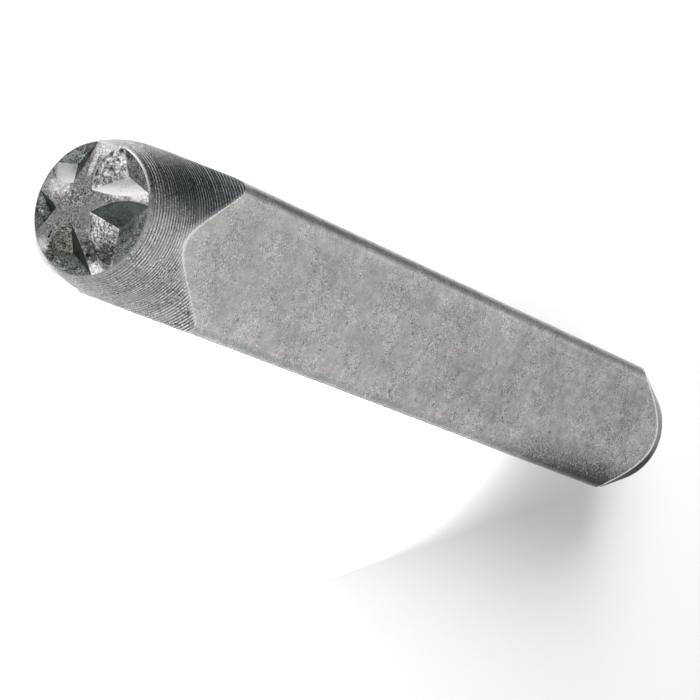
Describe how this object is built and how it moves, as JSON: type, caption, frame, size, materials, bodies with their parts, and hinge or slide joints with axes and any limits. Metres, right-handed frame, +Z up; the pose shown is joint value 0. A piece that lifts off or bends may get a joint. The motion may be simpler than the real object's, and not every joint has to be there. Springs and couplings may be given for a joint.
{
  "type": "metal stamping punch",
  "caption": "Hand punch of hardened square steel bar with a turned nose, a raised five-pointed star on its working face, and a tapered end to strike.",
  "frame": {"origin": "on the surface that the punch lies on, under the middle of the bar's length", "axes": "+X along the bar from the struck end to the working face with the star, +Z up out of the top flat, +Y across the bar"},
  "size_m": [0.07, 0.0094, 0.0095],
  "materials": {
    "steel": "dull grey tool steel: tumbled flats, a turned nose and taper with fine tool marks, and rough scoops round the star"
  },
  "bodies": {
    "root": {"star_punch": "steel"}
  },
  "joints": []
}
